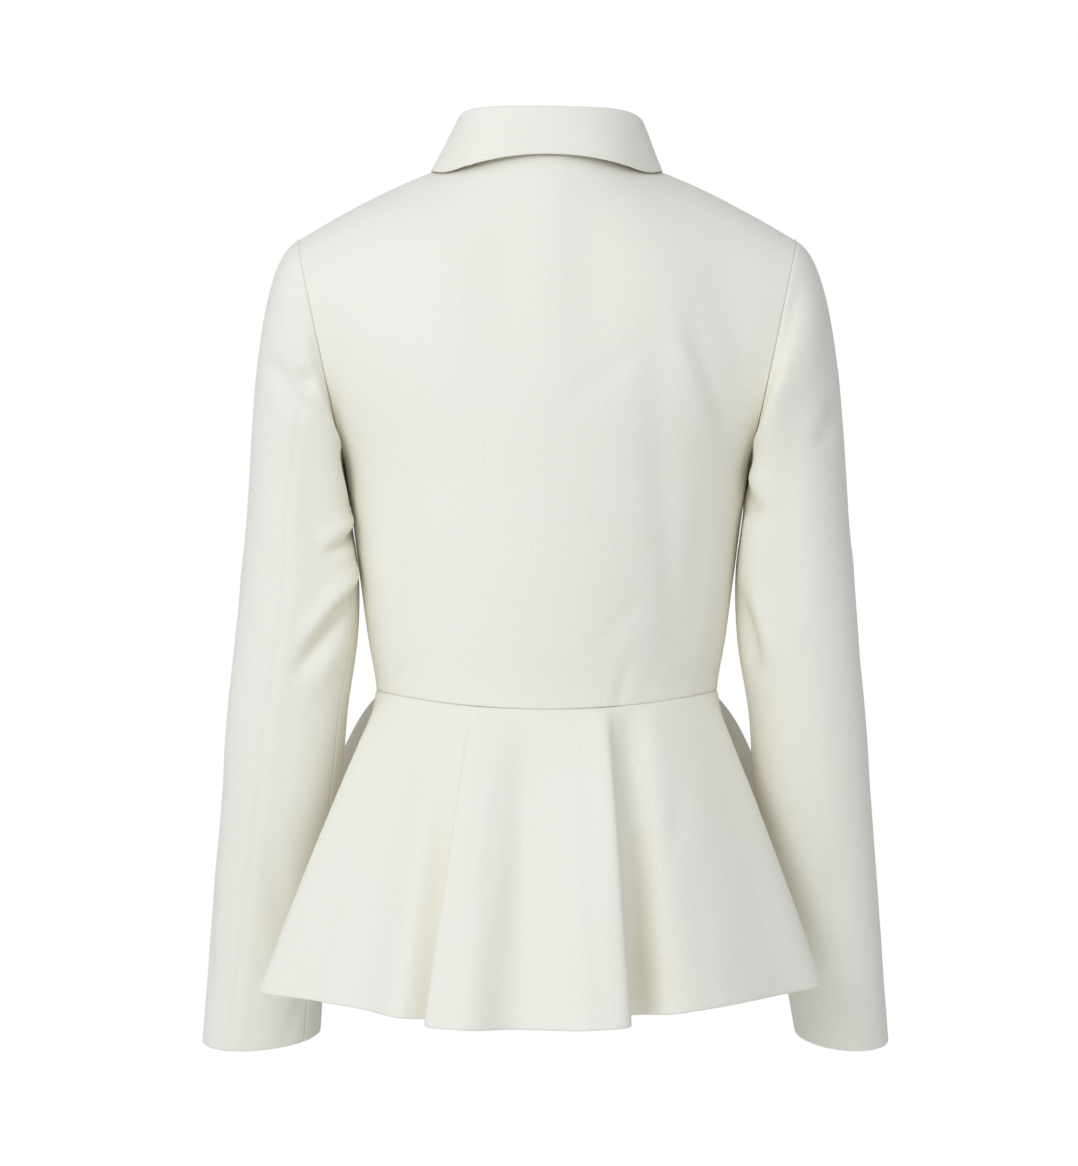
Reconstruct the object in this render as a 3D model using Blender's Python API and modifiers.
"""A fitted ivory shirt with a shirt collar, long set-in sleeves and a flared peplum, as it is worn.

The photograph shows the back, which faces -Y here. +Z is up and +X is the wearer's right.
The origin is at the base of the neck, a little below the middle between the two neck points.
Every panel is an open sheet, worked out from the sizes below, with the cloth's thickness on its inner side.
"""

import math

import bpy
import numpy as np

# The cloth, and the gap that is left between two panels where a seam joins them.
CLOTH = 0.0015
SEAM = 0.0004

# The shoulders: a seam from each neck point to the shoulder tip, falling faster towards the tip.
# The seam runs over a ridge, so the back and the front end a little further from it than at other seams.
SHOULDER_HALF = 0.192
SHOULDER_DROP = 0.060
SHOULDER_CURVE = 1.30
SHOULDER_SEAM = 0.0012

# The neck seam: half its width, how far it lies behind and in front of its own middle, and that middle.
NECK_HALF = 0.064
NECK_BACK = 0.057
NECK_FRONT = 0.060
NECK_MIDDLE_Y = -0.005
NECK_POINT_Z = 0.008
NECK_RISE = 0.005
NECK_FALL = 0.050

# The waist seam dips towards the middle of the back and of the front.
WAIST_Z = -0.397
WAIST_DIP = 0.012
UNDERARM_Z = -0.222
UNDERARM_Y = 0.002

# The bodice below the armholes. Each row is one level ring, from the waist to the underarm.
# Columns: height, half width, back depth, front depth.
TORSO = np.array([
    (-0.413, 0.1305, 0.0935, 0.0950),
    (-0.397, 0.1310, 0.0940, 0.0960),
    (-0.360, 0.1370, 0.0985, 0.1020),
    (-0.320, 0.1425, 0.1030, 0.1100),
    (-0.264, 0.1500, 0.1060, 0.1180),
    (-0.222, 0.1560, 0.1070, 0.1200),
])

# Half the gap at the side seams, as an angle round the body.
SIDE_GAP = math.degrees(0.75 * SEAM / TORSO[0, 2])

# How the columns of the bodice leave the underarm level and arrive at the shoulder or the neck seam.
# Each row is one place across half a panel, from the middle (0) to the armhole (1).
# Columns: across, leave x, leave y, leave z, arrive x, arrive y, arrive z.
BACK_RISE = np.array([
    (0.00, 0.000, -0.030, 0.240, 0.000, 0.120, 0.170),
    (0.42, 0.010, -0.060, 0.230, -0.010, 0.275, 0.080),
    (0.70, 0.020, -0.120, 0.190, 0.010, 0.265, 0.035),
    (0.88, 0.010, -0.190, 0.100, 0.012, 0.260, 0.025),
    (1.00, 0.000, -0.225, 0.030, 0.012, 0.260, 0.020),
])
FRONT_RISE = np.array([
    (0.00, 0.000, 0.030, 0.190, 0.000, -0.140, 0.110),
    (0.42, 0.010, 0.050, 0.230, -0.010, -0.268, 0.080),
    (0.70, 0.010, 0.110, 0.190, 0.030, -0.270, 0.035),
    (0.88, -0.030, 0.190, 0.100, 0.050, -0.265, 0.025),
    (1.00, -0.050, 0.235, 0.030, 0.060, -0.265, 0.020),
])
NECK_SHARE = 0.42
NECK_STEPS = 7
BESIDE_NECK_ANGLE = 5

# The top edge turns a corner at the neck point. Below it the cloth follows the edge rounded off over this
# share of a panel, and takes up the true edge only near the top, as this power of the way up.
CORNER_ROUND = 0.34
CORNER_POWER = 3

# The front closes right over left. The upper edge is raised by a cloth's thickness and a little air.
OVERLAP_ANGLE = 5.5
OVERLAP_RAISE = CLOTH + 0.0011
OVERLAP_RAMP_ANGLE = 9.0

# The peplum. Each row is the crest or the valley of a fold: where its line leaves the waist seam, as an
# angle round the waist from the middle of the back, and where it reaches the hem, seen from above.
# A growth below 1 makes the line stand out quickly below the seam and then hang straighter.
# Columns: waist angle, hem x, hem y, growth.
BACK_FOLDS = [
    (-78, -0.180, -0.022, 0.85),
    (-70, -0.217, -0.052, 0.88),
    (-57, -0.174, -0.089, 0.90),
    (-46, -0.138, -0.114, 0.90),
    (-37, -0.108, -0.148, 0.90),
    (-31, -0.084, -0.143, 0.85),
    (-27, -0.076, -0.151, 0.85),
    (-24, -0.089, -0.164, 0.80),
    (-17, -0.063, -0.182, 0.85),
    (-4, -0.022, -0.168, 0.90),
    (10, 0.033, -0.185, 0.85),
    (19, 0.061, -0.171, 0.68),
    (23, 0.050, -0.145, 0.72),
    (27, 0.060, -0.128, 0.82),
    (36, 0.090, -0.148, 0.85),
    (46, 0.127, -0.134, 0.90),
    (58, 0.172, -0.094, 0.90),
    (70, 0.208, -0.050, 0.88),
    (78, 0.178, -0.022, 0.85),
]
SIDE_FOLD = (90, 0.160, 0.020, 0.85)
FRONT_FOLDS = [
    (101, 0.171, 0.060, 0.75),
    (111, 0.215, 0.104, 0.58),
    (124, 0.190, 0.143, 0.75),
    (136, 0.144, 0.140, 0.85),
    (148, 0.112, 0.180, 0.85),
    (160, 0.064, 0.166, 0.90),
    (171, 0.030, 0.184, 0.90),
]
CENTRE_FOLD = (180, 0.000, 0.178, 0.90)
HEM_Z = -0.619
HEM_DIP = 0.0205
HEM_LEAN = 0.0025

# The sleeves below the armhole. Each row is one ring: how far out its two sides lie, where its middle
# lies in depth, and half its depth. The inner side just clears the bodice down to the elbow.
# Columns: height, left out, left in, right out, right in, middle y, half depth.
SLEEVE = np.array([
    (-0.260, 0.2305, 0.1512, 0.2320, 0.1514, 0.000, 0.051),
    (-0.310, 0.2350, 0.1448, 0.2365, 0.1452, -0.003, 0.047),
    (-0.365, 0.2410, 0.1458, 0.2405, 0.1470, -0.003, 0.044),
    (-0.415, 0.2465, 0.1530, 0.2455, 0.1550, 0.001, 0.042),
    (-0.480, 0.2510, 0.1590, 0.2505, 0.1600, 0.009, 0.040),
    (-0.550, 0.2585, 0.1660, 0.2565, 0.1700, 0.021, 0.038),
    (-0.628, 0.2650, 0.1735, 0.2630, 0.1860, 0.033, 0.036),
    (-0.668, 0.2685, 0.1765, 0.2665, 0.1935, 0.039, 0.035),
])
SLEEVE_TILT = 0.085
CUFF_DIP = 0.008

# How the sleeve leaves the armhole at the shoulder tip and under the arm, how it arrives at the first
# ring above, and how far it stays from the armhole's edge and from the side of the bodice.
CAP_LEAVE_OUT, UNDERARM_LEAVE_OUT = 0.095, 0.012
SLEEVE_SEAM_SHARE = 0.008
UNDERARM_GAP = 0.0007
SLEEVE_CLEAR = 0.0007
UNDERARM_FADE = 0.020

# The largest folds of the sleeves. Angles run round the arm from its outer side by way of the back.
# A lean turns the fold's length from straight down the arm towards the larger angles at its upper end.
# Columns: height, angle, lean, half length, half width, stand out.
LEFT_CREASES = [
    (-0.345, 136, 33, 0.045, 0.010, 0.0050),
    (-0.362, 142, 33, 0.040, 0.009, -0.0055),
    (-0.290, 158, 30, 0.030, 0.010, -0.0040),
    (-0.165, 118, 75, 0.022, 0.009, -0.0040),
    (-0.540, 112, -8, 0.070, 0.012, -0.0035),
]
RIGHT_CREASES = [
    (-0.240, 152, -20, 0.030, 0.010, -0.0040),
    (-0.345, 150, -25, 0.040, 0.010, -0.0040),
    (-0.370, 138, -30, 0.035, 0.010, 0.0035),
    (-0.130, 105, 15, 0.040, 0.014, -0.0035),
]

# The collar: a stand on the neck seam, and a fall that turns down over it.
# Columns: angle, height, how far its top stands out.
STAND = np.array([
    (-195, 0.0260, 0.000),
    (-130, 0.0260, 0.001),
    (-85, 0.0250, 0.003),
    (-40, 0.0258, 0.003),
    (0, 0.0275, 0.000),
    (50, 0.0243, 0.004),
    (90, 0.0230, 0.009),
    (130, 0.0245, 0.003),
    (195, 0.0240, 0.000),
])
STAND_RAMP_START, STAND_RAMP = 146, 18
STAND_LIFT_OUT, STAND_LIFT_UP = 0.55, 0.95
STAND_LEAN = 0.02
STAND_FRONT_LEAN = 0.36
FALL_END_ANGLE = 172
FOLD_RADIUS = 0.0027
FOLD_RISE = 0.0017
FALL_CLEAR = 0.0028
# Each row is a place round the fall, from the middle of the back: how far its outer edge lies outside
# its fold, how high that edge lies, and how far it is drawn forward.
# Columns: angle, out, edge height, forward.
FALL = np.array([
    (-172, 0.040, -0.0600, 0.018),
    (-150, 0.032, -0.0400, 0.012),
    (-125, 0.027, -0.0180, 0.010),
    (-90, 0.0230, -0.0010, 0.003),
    (-45, 0.018, 0.0055, 0.000),
    (0, 0.015, 0.0095, 0.000),
    (45, 0.018, 0.0055, 0.000),
    (90, 0.0165, -0.0020, 0.003),
    (125, 0.025, -0.0180, 0.010),
    (150, 0.032, -0.0400, 0.012),
    (172, 0.040, -0.0600, 0.018),
])
# The fold is part of a circle, from the stand's inner side over the top to its outer side.
FOLD_TURNS = (180, 120, 65, 10)

# The buttons down the middle of the front, the first on the collar stand.
BUTTON_RADIUS = 0.0058
BUTTON_THICKNESS = 0.0026
BUTTON_HEIGHTS = (-0.030, -0.094, -0.156, -0.218, -0.280, -0.340, -0.388)
BUTTON_SIDES = 14
BUTTON_CLEAR = 0.0008

IVORY = (0.86, 0.85, 0.79, 1.0)
SHELL = (0.83, 0.82, 0.77, 1.0)


def hermite(start, leave, end, arrive, t):
    """A cubic from start to end, leaving and arriving with the given slopes, at t from 0 to 1."""
    t2, t3 = t * t, t * t * t
    return (2 * t3 - 3 * t2 + 1) * start + (t3 - 2 * t2 + t) * leave + (3 * t2 - 2 * t3) * end + (t3 - t2) * arrive


def through(knots, values, at):
    """A smooth curve through a table's values, read at any places: cubics that share their slopes."""
    knots, values, at = (np.asarray(given, float) for given in (knots, values, at))
    slopes = np.gradient(values, knots, axis=0)
    piece = np.clip(np.searchsorted(knots, at, side="right") - 1, 0, len(knots) - 2)
    width = knots[piece + 1] - knots[piece]
    t = (at - knots[piece]) / width
    if values.ndim > 1:
        t, width = t[..., None], width[..., None]
    return hermite(values[piece], slopes[piece] * width, values[piece + 1], slopes[piece + 1] * width, t)


def stack(x, y, z):
    """Three arrays of coordinates as one array of points."""
    return np.stack(np.broadcast_arrays(x, y, z), axis=-1)


def ease(share):
    """0 below 0 and 1 above 1, with a smooth ramp between."""
    share = np.clip(share, 0, 1)
    return share * share * (3 - 2 * share)


def neck_ring(angle):
    """The neck seam at an angle from the middle of the back: an oval whose front hangs lower."""
    turn = np.radians(angle)
    depth = np.where(np.cos(turn) > 0, NECK_BACK, NECK_FRONT)
    offset = -depth * np.cos(turn)
    bend = (NECK_FALL / NECK_FRONT - NECK_RISE / NECK_BACK) / (NECK_FRONT + NECK_BACK)
    slope = NECK_RISE / NECK_BACK + bend * NECK_BACK
    height = -slope * offset - bend * offset * offset
    return stack(NECK_HALF * np.sin(turn), NECK_MIDDLE_Y + offset, NECK_POINT_Z + height)


def shoulder_seam(share):
    """The shoulder seam from the neck point (0) to the tip (1)."""
    reach = SHOULDER_HALF - NECK_HALF
    drop = SHOULDER_DROP * np.power(share, SHOULDER_CURVE)
    return stack(NECK_HALF + reach * share, NECK_MIDDLE_Y + 0.002 * share, NECK_POINT_Z - drop)


def waist_height(angle):
    """The waist seam's height at an angle round the body."""
    return WAIST_Z - WAIST_DIP * np.cos(np.radians(angle)) ** 2


def torso_ring(angle, height):
    """A point of the bodice below the armholes: the ring of that height, at an angle from the back."""
    turn = np.radians(angle)
    half_width, back_depth, front_depth = np.moveaxis(through(TORSO[:, 0], TORSO[:, 1:], height), -1, 0)
    depth = np.where(np.cos(turn) > 0, back_depth, front_depth)
    forward = UNDERARM_Y * np.sin(turn) ** 2
    return stack(half_width * np.sin(turn), forward - depth * np.cos(turn), height)


def rise_at(table, across):
    """A table's columns at a place across half a panel, level at the middle, where the other half mirrors it."""
    mirrored = table[1] * np.array([-1, -1, 1, 1, -1, 1, 1])
    whole = np.concatenate([mirrored[None], table])
    return through(whole[:, 0], whole[:, 1:], across)


def top_edge(across, is_front):
    """The top edge of half a panel: the neck seam from the middle (0), then the shoulder seam to the tip (1)."""
    neck_angle = np.minimum(across / NECK_SHARE, 1) * 90
    neck = neck_ring(np.where(is_front, 180 - neck_angle, neck_angle))
    shoulder = shoulder_seam(np.maximum((across - NECK_SHARE) / (1 - NECK_SHARE), 0))
    edge = np.where((across <= NECK_SHARE)[..., None], neck, shoulder)
    edge[..., 1] += np.where(is_front, 0.5, -0.5) * SHOULDER_SEAM * np.clip(across / NECK_SHARE, 0, 1)
    return edge


def bodice(angle, level):
    """The bodice's outer surface. Level runs from 0 at the waist, by 1 at the underarm, to 2 at the top seam."""
    angle, level = np.broadcast_arrays(np.asarray(angle, float), np.asarray(level, float))
    low = waist_height(angle) + (UNDERARM_Z - waist_height(angle)) * np.clip(level, 0, 1)
    lower = torso_ring(angle, low)
    turn = (angle + 180) % 360 - 180
    side = np.where(turn < 0, -1.0, 1.0)
    is_front = np.abs(turn) > 90
    across = np.where(is_front, 180 - np.abs(turn), np.abs(turn)) / 90
    top = top_edge(across, is_front)
    shifts = CORNER_ROUND * np.linspace(-1, 1, 9)
    rounded = sum(top_edge(across + shift, is_front) for shift in shifts) / len(shifts)
    fade = (ease((1 - across) / CORNER_ROUND) * ease(2 * across / NECK_SHARE))[..., None]
    rounded = top + (rounded - top) * fade
    rise = np.where(is_front[..., None], rise_at(FRONT_RISE, across), rise_at(BACK_RISE, across))
    for sided in (top, rounded, rise[..., :3], rise[..., 3:]):
        sided[..., 0] *= side
    t = np.clip(level - 1, 0, 1)[..., None]
    end = rounded + (top - rounded) * t ** CORNER_POWER
    upper = hermite(torso_ring(angle, UNDERARM_Z), rise[..., :3], end, rise[..., 3:], t)
    return np.where((level > 1)[..., None], upper, lower)


def normals(points):
    """The unit normal at each point of a grid: the cross product of its two directions."""
    normal = np.cross(np.gradient(points, axis=1), np.gradient(points, axis=0))
    return normal / np.linalg.norm(normal, axis=-1, keepdims=True)


def overlap_raise(angle):
    """How far the right front stands proud where it lies over the left: all of it past the middle."""
    past = (np.abs(angle) - (180 - OVERLAP_ANGLE - OVERLAP_RAMP_ANGLE)) / OVERLAP_RAMP_ANGLE
    return OVERLAP_RAISE * ease(past)


def fold_table(column):
    """One column of the folds all round the waist, from -270 to 270 degrees, so that it has no ends."""
    right = [SIDE_FOLD, *FRONT_FOLDS]
    left = [(-row[0], -row[1], row[2], row[3]) for row in reversed(right)]
    ring = [*left, *BACK_FOLDS, *right, CENTRE_FOLD]
    before = [(row[0] - 360, *row[1:]) for row in ring[len(ring) // 2:]]
    after = [(row[0] + 360, *row[1:]) for row in ring[:len(ring) // 2]]
    return np.array([row[column] for row in [*before, *ring, *after]], float)


FOLD_ANGLES, FOLD_X, FOLD_Y, FOLD_GROWTH = (fold_table(column) for column in range(4))


def peplum(angle, share):
    """The peplum's outer surface, from the waist seam (share 0) to the hem (1), along its fold lines."""
    angle, share = np.broadcast_arrays(np.asarray(angle, float), np.asarray(share, float))
    waist = torso_ring(angle, waist_height(angle) - SEAM)
    growth = np.power(share, through(FOLD_ANGLES, FOLD_GROWTH, angle))
    hem_z = HEM_Z - HEM_DIP * np.cos(np.radians(angle)) ** 2 + HEM_LEAN * np.sin(np.radians(angle))
    return stack(
        waist[..., 0] + (through(FOLD_ANGLES, FOLD_X, angle) - waist[..., 0]) * growth,
        waist[..., 1] + (through(FOLD_ANGLES, FOLD_Y, angle) - waist[..., 1]) * growth,
        waist[..., 2] + (hem_z - waist[..., 2]) * share,
    )


def armhole(side, angle):
    """The armhole's edge, as the sleeve meets it: 0 at the shoulder tip, 90 behind, 180 under the arm."""
    angle = np.asarray(angle, float) % 360
    behind = angle <= 180
    level = 2 - np.where(behind, angle, 360 - angle) / 180
    return bodice(side * np.where(behind, 89.999, 90.001), level)


def crease(table, angle, height, radius):
    """How far the folds of a sleeve stand out at an angle and height: each one a long smooth mound."""
    total = np.zeros(np.broadcast(angle, height).shape)
    for row_height, row_angle, lean, half_length, half_width, stand_out in table:
        round_it = np.radians(angle - row_angle) * radius
        up = height - row_height
        lean = math.radians(lean)
        along = up * math.cos(lean) + round_it * math.sin(lean)
        across = round_it * math.cos(lean) - up * math.sin(lean)
        total += stand_out * np.exp(-(along / half_length) ** 2 - (across / half_width) ** 2)
    return total


def clear_of_bodice(points):
    """Moves the points of a sleeve that would touch the side of the bodice straight out from it."""
    level = np.minimum(points[..., 2], UNDERARM_Z)
    half_width, back_depth, front_depth = np.moveaxis(through(TORSO[:, 0], TORSO[:, 1:], level), -1, 0)
    depth = np.where(points[..., 1] < UNDERARM_Y, back_depth, front_depth)
    deep = np.clip((points[..., 1] - UNDERARM_Y) / depth, -0.95, 0.95)
    out = np.abs(points[..., 0])
    needed = half_width * np.sqrt(1 - deep * deep) + SLEEVE_CLEAR - out
    near = ease((UNDERARM_Z + UNDERARM_FADE - points[..., 2]) / UNDERARM_FADE) * (points[..., 2] > WAIST_Z)
    return stack(np.sign(points[..., 0]) * (out + np.maximum(needed, 0) * near), points[..., 1], points[..., 2])


def arm_ring(side, angle, height):
    """A point of the sleeve below the armhole: an oval ring, tilted square to the arm."""
    table = through(-SLEEVE[:, 0], SLEEVE[:, 1:], -height)
    out, inner = (table[..., 0], table[..., 1]) if side < 0 else (table[..., 2], table[..., 3])
    middle_y, half_depth = table[..., 4], table[..., 5]
    half_width = (out - inner) / 2
    turn = np.radians(angle)
    creases = crease(LEFT_CREASES if side < 0 else RIGHT_CREASES, angle, height, half_width)
    x = (out + inner) / 2 + (half_width + creases) * np.cos(turn)
    y = middle_y - (half_depth + creases) * np.sin(turn)
    tilt = SLEEVE_TILT * ease((SLEEVE[0, 0] - height) / 0.1)
    dip = CUFF_DIP * ease((SLEEVE[0, 0] - height) / (SLEEVE[0, 0] - SLEEVE[-1, 0]))
    z = height - tilt * half_width * np.cos(turn) - dip * np.sin(turn)
    return stack(side * x, y, z)


def sleeve(side, angle, level):
    """The sleeve's outer surface. Level runs from 0 at the armhole, by 1 at the upper arm, to 2 at the cuff."""
    angle, level = np.broadcast_arrays(np.asarray(angle, float), np.asarray(level, float))
    start = armhole(side, angle)
    end = arm_ring(side, angle, np.full(angle.shape, SLEEVE[0, 0]))
    high = (start[..., 2] - UNDERARM_Z) / (NECK_POINT_Z - SHOULDER_DROP - UNDERARM_Z)
    drop = start[..., 2] - end[..., 2]
    leave_out = UNDERARM_LEAVE_OUT + (CAP_LEAVE_OUT - UNDERARM_LEAVE_OUT) * high
    leave = stack(side * leave_out, 0.25 * start[..., 1], -0.040 - 0.010 * high)
    arrive = stack(side * 0.012 * high, 0 * high, -0.030 - 0.80 * drop)
    t = np.clip(SLEEVE_SEAM_SHARE + (1 - SLEEVE_SEAM_SHARE) * level, 0, 1)[..., None]
    upper = hermite(start, leave, end, arrive, t)
    upper[..., 0] += side * UNDERARM_GAP * (1 - high) * (1 - t[..., 0])
    bump = crease(LEFT_CREASES if side < 0 else RIGHT_CREASES, angle, upper[..., 2], 0.045)
    bump = bump * ease(level / 0.3) * (1 - ease((level - 0.7) / 0.3))
    turn = np.radians(angle)
    upper = upper + stack(side * bump * np.cos(turn), -bump * np.sin(turn), 0 * bump)
    low = SLEEVE[0, 0] + (SLEEVE[-1, 0] - SLEEVE[0, 0]) * np.clip(level - 1, 0, 1)
    return clear_of_bodice(np.where((level > 1)[..., None], arm_ring(side, angle, low), upper))


def outward(angle):
    """The level direction out of the neck ring at an angle."""
    turn = np.radians(angle)
    across, deep = np.sin(turn) / NECK_HALF, -np.cos(turn) / NECK_BACK
    length = np.hypot(across, deep)
    return stack(across / length, deep / length, 0 * length)


def stand(angle, share):
    """The collar stand, from the neck seam (share 0) up to the fold (1). Its front leans back."""
    angle, share = np.broadcast_arrays(np.asarray(angle, float), np.asarray(share, float))
    front = (1 - np.cos(np.radians(angle))) / 2
    rise, stands_out = np.moveaxis(through(STAND[:, 0], STAND[:, 1:], angle) * share[..., None], -1, 0)
    lean = (STAND_LEAN + STAND_FRONT_LEAN * front ** 3) * rise
    lift = OVERLAP_RAISE * ease((angle - STAND_RAMP_START) / STAND_RAMP)
    out = stands_out + STAND_LIFT_OUT * lift - lean
    return neck_ring(angle) + stack(0, 0, SEAM + rise + STAND_LIFT_UP * lift) + outward(angle) * out[..., None]


def laid_on_shoulders(points, share):
    """Lifts the fall's slope so that its inner side stays FALL_CLEAR from the nearest place on the bodice. The
    lift grows in a straight line from the fold (share 0) to the outer edge (1), so the slope stays straight."""
    angles = np.linspace(-180, 180, 181)
    surface = bodice(angles[None], np.linspace(1.3, 2, 60)[:, None])
    normal = normals(surface).reshape(-1, 3)
    surface = surface.reshape(-1, 3)
    lift = 0
    for sheet_side in (points, points + normals(points) * CLOTH):
        flat = sheet_side.reshape(-1, 3)
        nearest = np.argmin(((flat[:, None] - surface[None]) ** 2).sum(axis=-1), axis=1)
        height = ((flat - surface[nearest]) * normal[nearest]).sum(axis=-1)
        lift = np.maximum(lift, FALL_CLEAR - height)
    edge_lift = (lift.reshape(points.shape[:2]) / share).max(axis=0)
    return points + normal[nearest].reshape(points.shape) * (edge_lift * share)[..., None]


def fall(angles, rows):
    """The collar's fall: a rolled fold over the stand, then a straight slope down to its outer edge."""
    top = stand(angles, 1.0)
    out, edge_height, forward = np.moveaxis(through(FALL[:, 0], FALL[:, 1:], angles), -1, 0)
    middle_out = FOLD_RADIUS - CLOTH
    turns = np.radians(FOLD_TURNS)[:, None]
    fold_out = middle_out + FOLD_RADIUS * np.cos(turns)
    fold_up = FOLD_RISE + FOLD_RADIUS * np.sin(turns)
    share = np.linspace(0, 1, rows + 1)[1:, None]
    slope_out = fold_out[-1] + (out[None] - fold_out[-1]) * share
    slope_up = fold_up[-1] + (edge_height - top[:, 2] - fold_up[-1])[None] * share
    ones = np.ones_like(angles)[None]
    section_out = np.concatenate([fold_out * ones, slope_out])
    section_up = np.concatenate([fold_up * ones, slope_up])
    drawn = np.concatenate([0 * fold_up * ones, forward[None] * share])
    points = top[None] + outward(angles)[None] * section_out[..., None] + stack(0, drawn, section_up)
    fold_rows = len(FOLD_TURNS)
    return np.concatenate([points[:fold_rows], laid_on_shoulders(points[fold_rows:], share)])


def across_panel(first, last, corners, steps):
    """Angles across a panel, with a column on each corner of its top edge."""
    stops = [first, *corners, last]
    columns = [np.linspace(a, b, n, endpoint=False) for a, b, n in zip(stops, stops[1:], steps)]
    return np.concatenate([*columns, [last]])


def remove_all():
    """Empties the scene."""
    for thing in list(bpy.data.objects):
        bpy.data.objects.remove(thing)


def material(name, colour, roughness):
    """A plain Principled material."""
    made = bpy.data.materials.new(name)
    made.use_nodes = True
    shader = made.node_tree.nodes["Principled BSDF"]
    shader.inputs["Base Color"].default_value = colour
    shader.inputs["Roughness"].default_value = roughness
    shader.inputs["Metallic"].default_value = 0.0
    return made


def sheet(name, points, collection, finish, closed=False, flip=False):
    """A panel of cloth: a grid of points as an open sheet, thickened towards its inner side."""
    rows, columns = points.shape[:2]
    index = np.arange(rows * columns).reshape(rows, columns)
    right = np.roll(index, -1, axis=1) if closed else index[:, 1:]
    left = index if closed else index[:, :-1]
    faces = np.stack([left[:-1], right[:-1], right[1:], left[1:]], axis=-1).reshape(-1, 4)
    if flip:
        faces = faces[:, ::-1]
    mesh = bpy.data.meshes.new(name)
    mesh.from_pydata(points.reshape(-1, 3).tolist(), [], faces.tolist())
    mesh.shade_smooth()
    mesh.materials.append(finish)
    panel = bpy.data.objects.new(name, mesh)
    collection.objects.link(panel)
    wall = panel.modifiers.new("cloth", "SOLIDIFY")
    wall.thickness = CLOTH
    wall.offset = -1
    return panel


def body_panels(collection, cloth):
    """The back and the two fronts, joined at the side and shoulder seams. Gives the middle of the front."""
    levels = np.concatenate([np.linspace(0, 1, 9, endpoint=False), np.linspace(1, 2, 12)])[:, None]
    neck = NECK_SHARE * 90
    beside = neck + BESIDE_NECK_ANGLE
    corners = (-beside, -neck, 0, neck, beside)
    columns = across_panel(-90 + SIDE_GAP, 90 - SIDE_GAP, corners, (5, 2, NECK_STEPS, NECK_STEPS, 2, 5))
    back = bodice(columns[None], levels)
    sheet("back", back, collection, cloth)
    for name, side in (("front_left", -1), ("front_right", 1)):
        corners = (180 - beside, 180 - neck, 180)
        columns = across_panel(90 + SIDE_GAP, 180 + OVERLAP_ANGLE, corners, (6, 2, NECK_STEPS, 1)) * side
        front = bodice(columns[None], levels)
        if side > 0:
            rise = normals(front) * stack(1, 1, np.clip(levels, 0, 1))
            front = front + rise * overlap_raise(columns)[None, :, None]
        sheet(name, front, collection, cloth, flip=side < 0)
    return front[:, -2]


def peplum_panels(collection, cloth):
    """The peplum's back and its two fronts, joined at the side seams."""
    shares = np.array([0, 0.04, 0.12, 0.25, 0.40, 0.55, 0.70, 0.85, 1.0])[:, None]
    stops = [row[0] for row in BACK_FOLDS]
    columns = across_panel(-90 + SIDE_GAP, 90 - SIDE_GAP, stops, [2] * (len(stops) + 1))
    sheet("peplum_back", peplum(columns[None], shares), collection, cloth, flip=True)
    stops = [*(row[0] for row in FRONT_FOLDS), 180]
    steps = [2] * len(stops) + [1]
    for name, side in (("peplum_front_left", -1), ("peplum_front_right", 1)):
        columns = across_panel(90 + SIDE_GAP, 180 + OVERLAP_ANGLE, stops, steps) * side
        front = peplum(columns[None], shares)
        if side > 0:
            front[..., 1] += overlap_raise(columns)[None] * np.ones_like(shares)
        sheet(name, front, collection, cloth, flip=side > 0)


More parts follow.
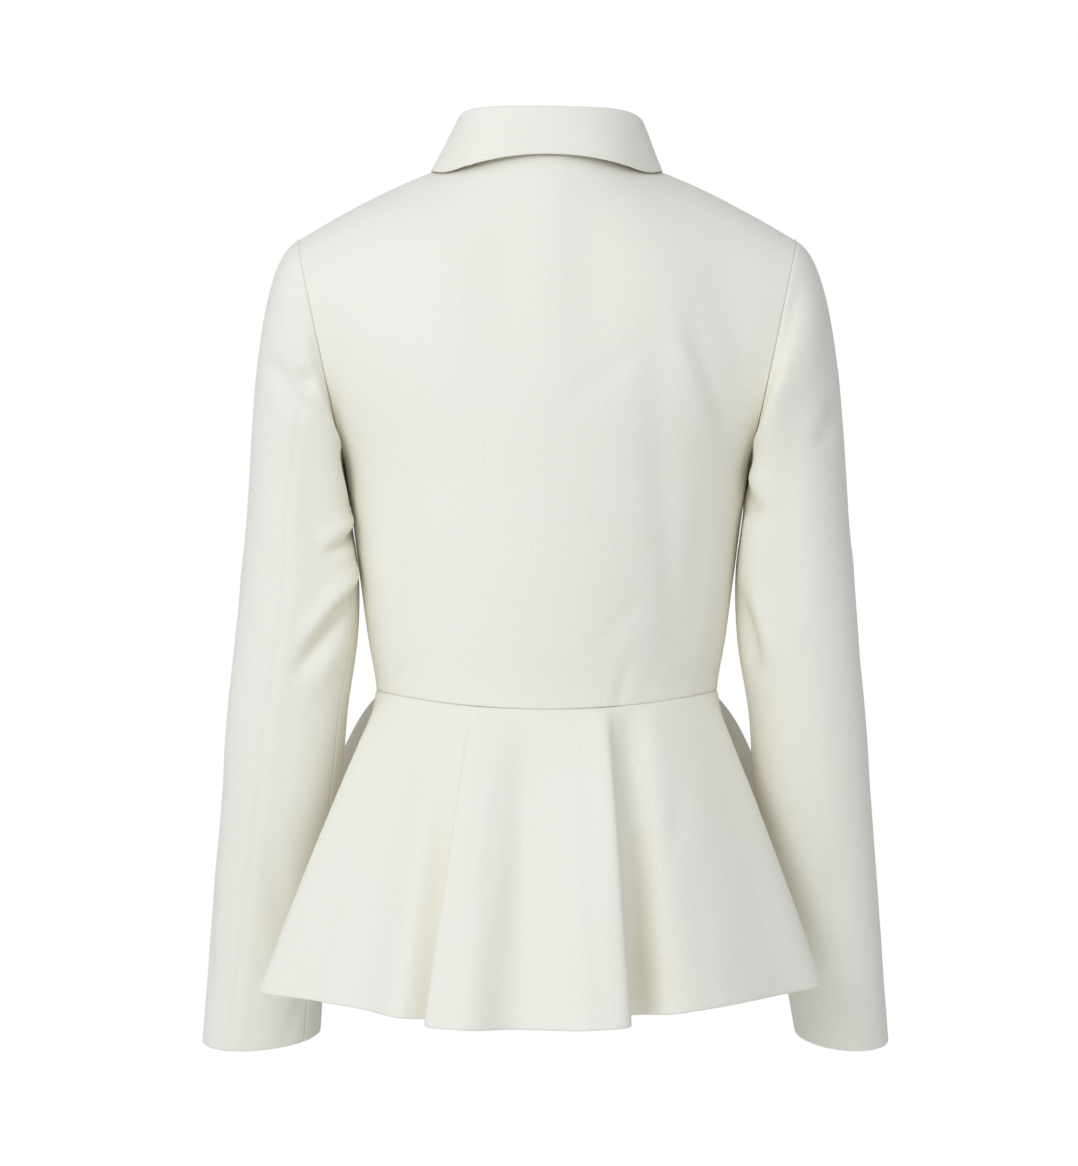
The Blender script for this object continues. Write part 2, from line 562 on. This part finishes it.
def sleeves(collection, cloth):
    """The two set-in sleeves, each one tube from the armhole to the cuff."""
    levels = np.concatenate([np.linspace(0, 1, 9, endpoint=False), np.linspace(1, 2, 22)])[:, None]
    angles = np.arange(0, 360, 15)[None]
    for name, side in (("sleeve_left", -1), ("sleeve_right", 1)):
        sheet(name, sleeve(side, angles, levels), collection, cloth, closed=True, flip=side < 0)


def collar(collection, cloth):
    """The stand, whose right end lies over its left, and the fall over it. Gives the stand's front middle."""
    end = 180 + OVERLAP_ANGLE / NECK_SHARE
    angles = np.concatenate([[-end], np.linspace(-180, 180, 4 * NECK_STEPS + 1), [end]])
    band = stand(angles[None], np.linspace(0, 1, 3)[:, None])
    sheet("collar_stand", band, collection, cloth)
    angles = np.concatenate([[-FALL_END_ANGLE], angles[2:-2], [FALL_END_ANGLE]])
    sheet("collar_fall", fall(angles, 5), collection, cloth, flip=True)
    return band[:, -2]


def buttons(collection, finish, front_line, stand_line):
    """A row of flat round buttons on the middle of the front, the first on the stand."""
    for number, height in enumerate(BUTTON_HEIGHTS, 1):
        line = stand_line if number == 1 else front_line
        run = int(np.clip(np.searchsorted(line[:, 2], height) - 1, 0, len(line) - 2))
        low, high = line[run], line[run + 1]
        share = (height - low[2]) / (high[2] - low[2])
        tilt = math.atan2(low[1] - high[1], high[2] - low[2])
        clear = BUTTON_CLEAR + BUTTON_THICKNESS / 2
        centre = low + (high - low) * share + np.array([0, math.cos(tilt), math.sin(tilt)]) * clear
        bpy.ops.mesh.primitive_cylinder_add(
            vertices=BUTTON_SIDES, radius=BUTTON_RADIUS, depth=BUTTON_THICKNESS,
            location=centre.tolist(), rotation=(tilt - math.pi / 2, 0, 0))
        button = bpy.context.object
        button.name = f"button_{number}"
        button.data.materials.append(finish)
        edge = button.modifiers.new("edge", "BEVEL")
        edge.width = BUTTON_THICKNESS / 4
        edge.segments = 1
        for other in list(button.users_collection):
            other.objects.unlink(button)
        collection.objects.link(button)


def main():
    remove_all()
    shirt = bpy.data.collections.new("peplum_shirt")
    bpy.context.scene.collection.children.link(shirt)
    cloth = material("ivory_crepe", IVORY, 0.85)
    shell = material("shell_button", SHELL, 0.35)
    front_line = body_panels(shirt, cloth)
    peplum_panels(shirt, cloth)
    sleeves(shirt, cloth)
    stand_line = collar(shirt, cloth)
    buttons(shirt, shell, front_line, stand_line)


main()
